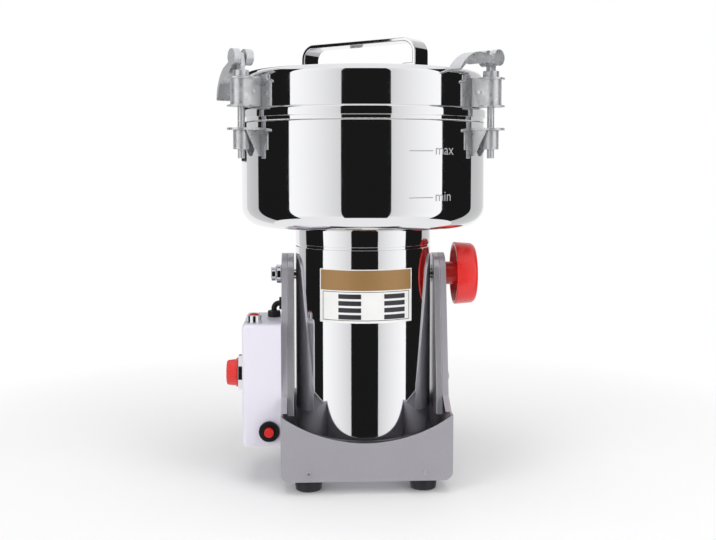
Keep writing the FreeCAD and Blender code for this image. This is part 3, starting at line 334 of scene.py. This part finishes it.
def makeLid(sizes):
    low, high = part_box("lid_shell")
    bead = (high.x - low.x) / 2
    height = high.z - low.z
    wall = bead - sizes["wallInset"]
    shoulder = height - sizes["crown"]
    steps = sizes["crownSteps"]
    top = [(wall * (1 - step / steps), shoulder + sizes["crown"] * (1 - (1 - step / steps) ** 2))
           for step in range(2, steps + 1)]
    outside = rounded([
        (bead, 0, sizes["mouthRound"]), (bead, sizes["beadHeight"], sizes["beadRound"]),
        (wall, sizes["beadHeight"], sizes["crease"]), (wall, shoulder, sizes["edgeRound"]),
        (wall * sizes["crownStart"], shoulder + sizes["crownLift"])], 8)[:-1] + top
    inside = [(p[0], p[1] - sizes["sheet"]) for p in reversed(top)]
    inside += rounded([
        (wall * sizes["crownStart"], shoulder - sizes["sheet"]),
        (wall - sizes["sheet"], shoulder - sizes["sheet"], sizes["edgeRound"] - sizes["sheet"]),
        (wall - sizes["sheet"], sizes["seatDepth"]),
        (bead - sizes["beadSheet"], sizes["seatDepth"]), (bead - sizes["beadSheet"], 0)], 8)[1:]
    profile = [(max(p[0], 0), p[1]) for p in outside + inside]
    bm = revolved(profile, 256)
    keep("lid", moved(bm, (millAxis.x, millAxis.y, low.z)), "lid_shell")


makeLid(lidSizes)

# Motor barrel: rolled tube, a pressed groove below the collar, a rounded cap
barrelSizes = {"wall": 0.0015, "groove": 0.0009, "grooveWidth": 0.0024, "collar": 0.017,
               "capRound": 0.006, "crease": 0.0004}


def makeBarrel(sizes):
    low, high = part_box("motor_barrel")
    radius = (high.x - low.x) / 2
    bottom, top = low.z, high.z
    ring = top - sizes["collar"]
    inner = radius - sizes["wall"]
    profile = rounded([
        (inner, bottom), (radius, bottom),
        (radius, ring - sizes["grooveWidth"], sizes["crease"]),
        (radius - sizes["groove"], ring - sizes["grooveWidth"]),
        (radius - sizes["groove"], ring), (radius, ring, sizes["crease"]),
        (radius, top), (inner, top)], 4)
    keep("barrel", moved(revolved(profile, 224), (millAxis.x, millAxis.y, 0)), "motor_barrel")
    capLow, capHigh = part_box("barrel_cap")
    profile = rounded([
        (0, capLow.z), (radius, capLow.z, sizes["capRound"]), (radius, capHigh.z),
        (inner, capHigh.z), (inner, capLow.z + sizes["wall"]), (0, capLow.z + sizes["wall"])], 10)
    keep("barrel_bottom", moved(revolved(profile, 224), (millAxis.x, millAxis.y, 0)),
         "barrel_cap")


makeBarrel(barrelSizes)
print("bowl, lid and barrel made")

# Lock knob: a deep hollow rim on a hub, moulded in one
knobSizes = {"hub": 0.011, "hubLength": 0.0095, "hubEdge": 0.0015, "wall": 0.0032,
             "webReach": 0.008, "webShare": 1.6, "webRound": 0.002, "lipRound": 0.0008,
             "edge": 0.001, "draft": 0.0016, "round": 0.005, "faceRim": 0.011,
             "dishRim": 0.013, "dish": 0.0012, "plug": 0.006, "bore": 0.0051}


def makeLockKnob(sizes):
    low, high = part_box("lock_knob")
    radius = (high.y - low.y) / 2
    length = high.x - low.x
    disc = sizes["hubLength"]
    profile = rounded([
        (sizes["bore"], 0), (sizes["hub"], 0, sizes["hubEdge"]),
        (sizes["hub"], disc + sizes["webReach"], sizes["hubEdge"]),
        (radius - sizes["wall"] * sizes["webShare"], disc + sizes["webReach"], sizes["webRound"]),
        (radius - sizes["wall"], disc, sizes["lipRound"]),
        (radius, disc, sizes["edge"]), (radius - sizes["draft"], length, sizes["round"]),
        (radius - sizes["faceRim"], length, sizes["edge"]),
        (radius - sizes["dishRim"], length - sizes["dish"], sizes["edge"]),
        (0, length - sizes["dish"]), (0, length - sizes["plug"]),
        (sizes["bore"], length - sizes["plug"])], 8)
    bm = moved(revolved(profile, 128), (low.x, millAxis.y, (low.z + high.z) / 2), alongX)
    keep("red_lock_knob", bm, "lock_knob")


makeLockKnob(knobSizes)

# Timer knob: ribbed grip with a raised pointer
timerSizes = {"ribs": 24, "stepsPerRib": 6, "ribDepth": 0.0006, "ribStart": 1.1, "ribInside": 0.6,
              "faceRound": 0.0022, "skirt": 0.002, "edge": 0.0005, "step": 0.0012,
              "draft": 0.0022, "bezelGap": 0.0003, "pointerThick": 0.0006,
              "pointerWide": 0.0016, "pointerLong": 0.62, "pointerRise": 0.45,
              "pointerSink": 0.0002, "pointerEdge": 0.0001}


def makeTimerKnob(sizes):
    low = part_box("timer_knob")[0]
    centre, size = middle("timer_knob")
    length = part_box("timer_bezel")[0].x - low.x - sizes["bezelGap"]
    radius = size.y / 2
    profile = rounded([
        (0, 0), (radius, 0, sizes["edge"]), (radius, sizes["skirt"], sizes["edge"]),
        (radius - sizes["step"], sizes["skirt"]),
        (radius - sizes["draft"], length, sizes["faceRound"]), (0, length)], 6)
    bm = revolved(profile, sizes["ribs"] * sizes["stepsPerRib"])
    for vert in bm.verts:
        reach = math.hypot(vert.co.x, vert.co.y)
        if sizes["skirt"] * sizes["ribStart"] < vert.co.z and reach > radius * sizes["ribInside"]:
            wave = math.cos(math.atan2(vert.co.y, vert.co.x) * sizes["ribs"])
            vert.co.xy *= 1 - max(wave, 0) * sizes["ribDepth"] / reach
    moved(bm, (low.x + length, centre.y, centre.z), alongMinusX)
    keep("red_timer_knob", bm, "timer_knob", smoothAngle=50)
    bar = bmesh.new()
    bmesh.ops.create_cube(bar, size=1)
    shape = (sizes["pointerThick"], sizes["pointerWide"], radius * sizes["pointerLong"])
    bmesh.ops.scale(bar, vec=shape, verts=bar.verts)
    moved(bar, (low.x + sizes["pointerSink"], centre.y,
                centre.z + radius * sizes["pointerRise"]))
    keep("timer_pointer", bar, "timer_knob", extraFinishes["whiteInk"], replaces=[],
         bevel=sizes["pointerEdge"])


makeTimerKnob(timerSizes)

# Rubber feet: tapered pucks with a moulded edge
footSizes = {"radius": 0.013, "taper": 0.0012, "edge": 0.0016, "well": 0.0046,
             "wellDepth": 0.0062, "screwShare": 0.45, "shoulder": 0.75,
             "shoulderRound": 0.001, "topRound": 0.0006}


def makeFeet(sizes):
    low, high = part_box("rubber_feet")
    height = high.z - low.z
    radius, hole = sizes["radius"], sizes["well"] * sizes["screwShare"]
    profile = rounded([
        (sizes["well"], 0), (radius - sizes["taper"], 0, sizes["edge"]),
        (radius, height * sizes["shoulder"], sizes["shoulderRound"]),
        (radius, height, sizes["topRound"]), (hole, height), (hole, sizes["wellDepth"]),
        (sizes["well"], sizes["wellDepth"])], 5)
    spots = [(x, y, low.z) for x in (low.x + radius, high.x - radius)
             for y in (low.y + radius, high.y - radius)]
    feet = gathered(moved(revolved(profile, 64), spot) for spot in spots)
    keep("feet", feet, "rubber_feet")


makeFeet(footSizes)

# Label: thin plate with a bronze strip, a fine frame line and blank dark fields
labelSizes = {"strip": 0.019, "stripInset": 0.0008, "frame": 0.0022, "line": 0.0005, "rows": 4,
              "rowInset": 0.0022, "fieldHeight": 0.0042, "pitch": 0.0062,
              "columns": (-0.62, 0.38), "columnWidth": 0.5, "raise": 0.00012,
              "halfAngle": 40, "sideInset": 1}


# A patch on the barrel between two heights and two angles from the front.
def curvedPatch(low, high, start, end, radius):
    bm = bmesh.new()
    steps = max(2, int(abs(end - start) / 2))
    bmesh.ops.create_grid(bm, x_segments=steps, y_segments=2, size=0.5)
    for vert in bm.verts:
        angle = math.radians(start + (end - start) * (vert.co.x + 0.5))
        height = low + (high - low) * (vert.co.y + 0.5)
        vert.co = (millAxis.x + radius * math.sin(angle),
                   millAxis.y - radius * math.cos(angle), height)
    bmesh.ops.recalc_face_normals(bm, faces=bm.faces)
    outward = sum((f.normal.dot(f.calc_center_median() - Vector((*millAxis.xy, low)))
                   for f in bm.faces))
    if outward < 0:
        bmesh.ops.reverse_faces(bm, faces=bm.faces)
    return bm


def makeLabel(sizes):
    low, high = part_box("label_plate")
    radius = millAxis.y - low.y + sizes["raise"]
    edge = sizes["halfAngle"] - sizes["sideInset"]
    perMm = math.degrees(0.001 / radius)
    strip = [(high.z - sizes["strip"], high.z - sizes["stripInset"], -edge, edge)]
    base = low.z + sizes["frame"]
    top = high.z - sizes["strip"] - sizes["frame"] * 0.5
    inset = edge - sizes["frame"] * 1000 * perMm
    line = sizes["line"]
    side = line * 1000 * perMm  # the same line's width as an angle
    fields = [(base, base + line, -inset, inset), (top - line, top, -inset, inset),
              (base, top, -inset, -inset + side), (base, top, inset - side, inset)]
    for row in range(sizes["rows"]):
        upper = top - sizes["rowInset"] - row * sizes["pitch"]
        for share in sizes["columns"]:
            start = inset * share
            fields.append((upper - sizes["fieldHeight"], upper, start,
                           start + inset * sizes["columnWidth"]))
    looks = {"label_strip": (strip, "bronzeStrip"), "label_fields": (fields, "darkField")}
    for name, (places, finish) in looks.items():
        whole = gathered(curvedPatch(*place, radius) for place in places)
        keep(name, whole, "label_plate", extraFinishes[finish], replaces=[])


makeLabel(labelSizes)

# Fill marks on the bowl: two lines with plain words
markSizes = {"max": 0.308, "min": 0.268, "start": 17, "end": 28.5, "height": 0.0009,
             "letters": 0.0125, "letterDrop": 0.22, "wordGap": 1, "raise": 0.00012}


def makeMarks(sizes):
    radius = middle("bowl_shell")[1].x / 2 + sizes["raise"]
    for word in ("max", "min"):
        level = sizes[word]
        bm = curvedPatch(level, level + sizes["height"], sizes["start"], sizes["end"], radius)
        keep("mark_" + word, bm, "bowl_shell", extraFinishes["etchedMark"], replaces=[])
        text = bpy.data.curves.new("word", "FONT")
        text.body = word
        text.size = sizes["letters"]
        text.resolution_u = 3
        holder = bpy.data.objects.new("word", text)
        mesh = bpy.data.meshes.new_from_object(holder)
        letters = bmesh.new()
        letters.from_mesh(mesh)
        bmesh.ops.triangulate(letters, faces=letters.faces)
        for vert in letters.verts:
            angle = math.radians(sizes["end"] + sizes["wordGap"]) + vert.co.x / radius
            vert.co = (millAxis.x + radius * math.sin(angle),
                       millAxis.y - radius * math.cos(angle),
                       level + vert.co.y - sizes["letters"] * sizes["letterDrop"])
        keep("word_" + word, letters, "bowl_shell", extraFinishes["etchedMark"], replaces=[])
        bpy.data.objects.remove(holder)
        bpy.data.meshes.remove(mesh)


makeMarks(markSizes)
print("knobs, feet, label and marks made")

# Lamp: a bright ferrule that holds a low red dome
lampSizes = {"lens": 0.0048, "lensPlay": 0.97, "lip": 0.0007, "tail": 0.004, "flange": 0.0012,
             "flangeRound": 0.0004, "step": 0.0006, "topRound": 0.0009, "lipRound": 0.0003,
             "seat": 0.0008, "domeSteps": 8}


def makeSignalLamp(sizes):
    low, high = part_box("lamp_base")
    centre, size = middle("lamp_base")
    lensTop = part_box("lamp_lens")[1].z
    radius, foot, top = size.x / 2, low.z, high.z
    profile = rounded([
        (sizes["lens"], foot), (radius, foot),
        (radius, foot + sizes["flange"], sizes["flangeRound"]),
        (radius - sizes["step"], foot + sizes["flange"]),
        (radius - sizes["step"], top, sizes["topRound"]),
        (sizes["lens"] + sizes["lip"], top, sizes["lipRound"]),
        (sizes["lens"], top - sizes["seat"])], 5)
    keep("lamp_ferrule", moved(revolved(profile, 96), (centre.x, centre.y, 0)), "lamp_base")
    dome = lensTop - top + sizes["seat"]
    lens = sizes["lens"] * sizes["lensPlay"]
    profile = [(0, foot - sizes["tail"]), (lens, foot - sizes["tail"])]
    for step in range(sizes["domeSteps"] + 1):
        turn = math.radians(step * 90 / sizes["domeSteps"])
        profile.append((lens * math.cos(turn), top - sizes["seat"] + dome * math.sin(turn)))
    keep("lamp_dome", moved(revolved(profile, 96), (centre.x, centre.y, 0)), "lamp_lens")


makeSignalLamp(lampSizes)


# Pieces that keep their CAD form, with cleaned faces and broken edges
edges = {
    "stand_shell": 0.0009, "arm_cheek_left": 0.0009, "arm_cheek_right": 0.0009,
    "control_box": 0.0004, "lid_handle": 0.0008, "lid_brackets": 0.0003,
    "bowl_brackets": 0.0003, "cam_lever_left": 0.0008, "cam_lever_right": 0.0008,
    "cam_lever_rear": 0.0008, "barrel_nut_left": 0.0004, "barrel_nut_right": 0.0004,
    "barrel_nut_rear": 0.0004, "rod_nuts": 0.0005, "clamp_rods": 0.0004,
    "timer_bezel": 0.0006, "breaker_body": 0.0005, "reset_button": 0.0007,
    "cable_glands": 0.0006, "pivot_nut_left": 0.001, "arm_screws": 0.0005,
    "panel_screws": 0.0005, "bracket_rivets": 0.0004, "power_inlet": 0.0005,
    "blade_lower": 0.0002, "blade_upper": 0.0002, "blade_nut": 0.0004,
}
ownFinish = {"arm_cheek_left": "polishedCheek", "arm_cheek_right": "polishedCheek"}
for node in ("lid_brackets", "bowl_brackets", "cam_lever_left", "cam_lever_right",
             "cam_lever_rear", "barrel_nut_left", "barrel_nut_right", "barrel_nut_rear",
             "rod_nuts", "clamp_rods"):
    ownFinish[node] = "softSteel"
for node, width in edges.items():
    dressed(node, width, extraFinishes.get(ownFinish.get(node)))
print("dressed pieces:", len(edges))

# Studio: pale floor, two soft panels, and dark flags that only polished metal sees
studio = {"distance": 0.946, "height": 0.3, "azimuth": -3.0, "tilt": 3.43, "focal": 990,
          "across": 5, "down": 50, "frameWide": 716, "sensor": 36, "worldPlain": 0.42,
          "panelPower": 14, "topPower": 13, "lampAim": 0.22, "cardReach": 2.2,
          "floorRadius": 6, "fadeStart": 0.16, "fadeEnd": 0.6}


def makeCamera(sizes):
    data = bpy.data.cameras.new("camera")
    camera = bpy.data.objects.new("camera", data)
    bpy.context.scene.collection.objects.link(camera)
    data.sensor_width = sizes["sensor"]
    data.lens = sizes["sensor"] * sizes["focal"] / sizes["frameWide"]
    data.clip_start, data.clip_end = 0.02, 50
    turn = math.radians(sizes["azimuth"])
    camera.location = (millAxis.x + sizes["distance"] * math.sin(turn),
                       millAxis.y - sizes["distance"] * math.cos(turn), sizes["height"])
    camera.rotation_euler = (math.radians(90 - sizes["tilt"]), 0, turn)
    data.shift_x = -sizes["across"] / sizes["frameWide"]
    data.shift_y = -sizes["down"] / sizes["frameWide"]
    bpy.context.scene.camera = camera


def makeLamp(name, azimuth, elevation, distance, width, height, power):
    data = bpy.data.lights.new(name, "AREA")
    data.shape = "RECTANGLE"
    data.size, data.size_y, data.energy = width, height, power
    lamp = bpy.data.objects.new(name, data)
    bpy.context.scene.collection.objects.link(lamp)
    a, e = math.radians(azimuth), math.radians(elevation)
    back = Vector((math.sin(a) * math.cos(e), -math.cos(a) * math.cos(e), math.sin(e)))
    lamp.location = Vector((*millAxis.xy, studio["lampAim"])) + back * distance
    lamp.rotation_euler = back.to_track_quat("Z", "Y").to_euler()
    lamp.visible_glossy = False  # the cards stand in for it in polished metal


# A curved card round the object that only reflections see; its brightness runs from its
# inner edge to its outer edge
def makeCard(name, start, end, low, high, inner, outer):
    bm = bmesh.new()
    bmesh.ops.create_grid(bm, x_segments=16, y_segments=1, size=0.5)
    reach = studio["cardReach"]
    for vert in bm.verts:
        angle = math.radians(start + (end - start) * (vert.co.x + 0.5))
        vert.co = (reach * math.sin(angle), -reach * math.cos(angle),
                   low + (high - low) * (vert.co.y + 0.5))
    mesh = bpy.data.meshes.new(name)
    bm.to_mesh(mesh)
    bm.free()
    card = bpy.data.objects.new(name, mesh)
    bpy.context.scene.collection.objects.link(card)
    material = bpy.data.materials.new(name + "_cloth")
    material.use_nodes = True
    material.node_tree.nodes.clear()
    place = addNode(material, "ShaderNodeTexCoord").outputs["Object"]
    parts = addNode(material, "ShaderNodeSeparateXYZ", None, {0: place})
    side = addNode(material, "ShaderNodeMath", {"operation": "ABSOLUTE"}, {0: parts.outputs["X"]})
    sides = sorted(abs(reach * math.sin(math.radians(a))) for a in (start, end))
    glow = addNode(material, "ShaderNodeMapRange",
                   {"From Min": sides[0], "From Max": sides[1], "To Min": inner, "To Max": outer},
                   {"Value": side.outputs["Value"]})
    shine = addNode(material, "ShaderNodeEmission", {"Color": (1, 1, 1, 1)},
                    {"Strength": glow.outputs["Result"]})
    addNode(material, "ShaderNodeOutputMaterial", None, {"Surface": shine.outputs["Emission"]})
    mesh.materials.append(material)
    for seen in ("camera", "diffuse", "shadow", "transmission", "volume_scatter"):
        setattr(card, "visible_" + seen, False)


# A pale floor that keeps the object's shadow and turns to plain white further out
def makeFloor(sizes):
    bm = bmesh.new()
    bmesh.ops.create_circle(bm, cap_ends=True, radius=sizes["floorRadius"], segments=64)
    mesh = bpy.data.meshes.new("floor")
    bm.to_mesh(mesh)
    bm.free()
    floor = bpy.data.objects.new("floor", mesh)
    bpy.context.scene.collection.objects.link(floor)
    material, shader, place = startMaterial("pale_floor", "#fafafa", 0, 0.6)
    tree = material.node_tree
    far = addNode(material, "ShaderNodeVectorMath", {"operation": "LENGTH"}, {0: place})
    fade = addNode(material, "ShaderNodeMapRange",
                   {"From Min": sizes["fadeStart"], "From Max": sizes["fadeEnd"]},
                   {"Value": far.outputs["Value"]})
    rays = addNode(material, "ShaderNodeLightPath")
    seen = addNode(material, "ShaderNodeMath", {"operation": "MAXIMUM"},
                   {0: rays.outputs["Is Camera Ray"], 1: rays.outputs["Is Glossy Ray"]})
    share = addNode(material, "ShaderNodeMath", {"operation": "MULTIPLY"},
                    {0: fade.outputs["Result"], 1: seen.outputs["Value"]})
    white = addNode(material, "ShaderNodeEmission", {"Color": (1, 1, 1, 1), "Strength": 1})
    mix = addNode(material, "ShaderNodeMixShader", None,
                  {0: share.outputs["Value"], 1: shader.outputs["BSDF"],
                   2: white.outputs["Emission"]})
    output = next(n for n in tree.nodes if n.type == "OUTPUT_MATERIAL")
    tree.links.new(mix.outputs["Shader"], output.inputs["Surface"])
    mesh.materials.append(material)
    floor.visible_glossy = False  # so that the cards' reflections run down to the stand


# White where it is seen or mirrored, and dimmer where it lights the pieces
def makeWorld(plain):
    world = bpy.data.worlds.new("studio")
    bpy.context.scene.world = world
    world.use_nodes = True
    world.node_tree.nodes.clear()
    rays = addNode(world, "ShaderNodeLightPath")
    first = addNode(world, "ShaderNodeMath", {"operation": "MAXIMUM"},
                    {0: rays.outputs["Is Camera Ray"], 1: rays.outputs["Is Glossy Ray"]})
    seen = addNode(world, "ShaderNodeMath", {"operation": "MAXIMUM"},
                   {0: first.outputs["Value"], 1: rays.outputs["Is Transmission Ray"]})
    power = addNode(world, "ShaderNodeMapRange", {"To Min": plain, "To Max": 1},
                    {"Value": seen.outputs["Value"]})
    sky = addNode(world, "ShaderNodeBackground", {"Color": (1, 1, 1, 1)},
                  {"Strength": power.outputs["Result"]})
    addNode(world, "ShaderNodeOutputWorld", None, {"Surface": sky.outputs["Background"]})


makeCamera(studio)
makeWorld(studio["worldPlain"])
makeFloor(studio)
for azimuth in (-48, 48):
    makeLamp(f"panel_{azimuth}", azimuth, 18, 1.9, 1.1, 1.5, studio["panelPower"])
makeLamp("top_panel", 0, 80, 1.6, 1.2, 1.2, studio["topPower"])
# Azimuths and heights of each card, then its brightness at the inner and the outer edge
cards = {
    "front_black": (-22, 22, -1.6, 2.6, 0.012, 0.012),
    "left_white": (-72, -22, -1.1, 2.6, 0.8, 1.2),
    "right_white": (22, 72, -1.1, 2.6, 0.8, 1.2),
    "left_black": (-114, -72, -1.6, 2.6, 0.012, 0.012),
    "right_black": (72, 114, -1.6, 2.6, 0.012, 0.012),
    "back_black": (-174, -140, 0.3, 1.5, 0.02, 0.02),
    "far_left_grey": (-140, -114, -1.6, 2.6, 0.75, 0.62),
    "far_right_grey": (114, 150, -1.6, 2.6, 0.75, 0.62),
}
for name, values in cards.items():
    makeCard(name, *values)
bpy.context.scene.view_settings.view_transform = "Standard"
print("studio made")
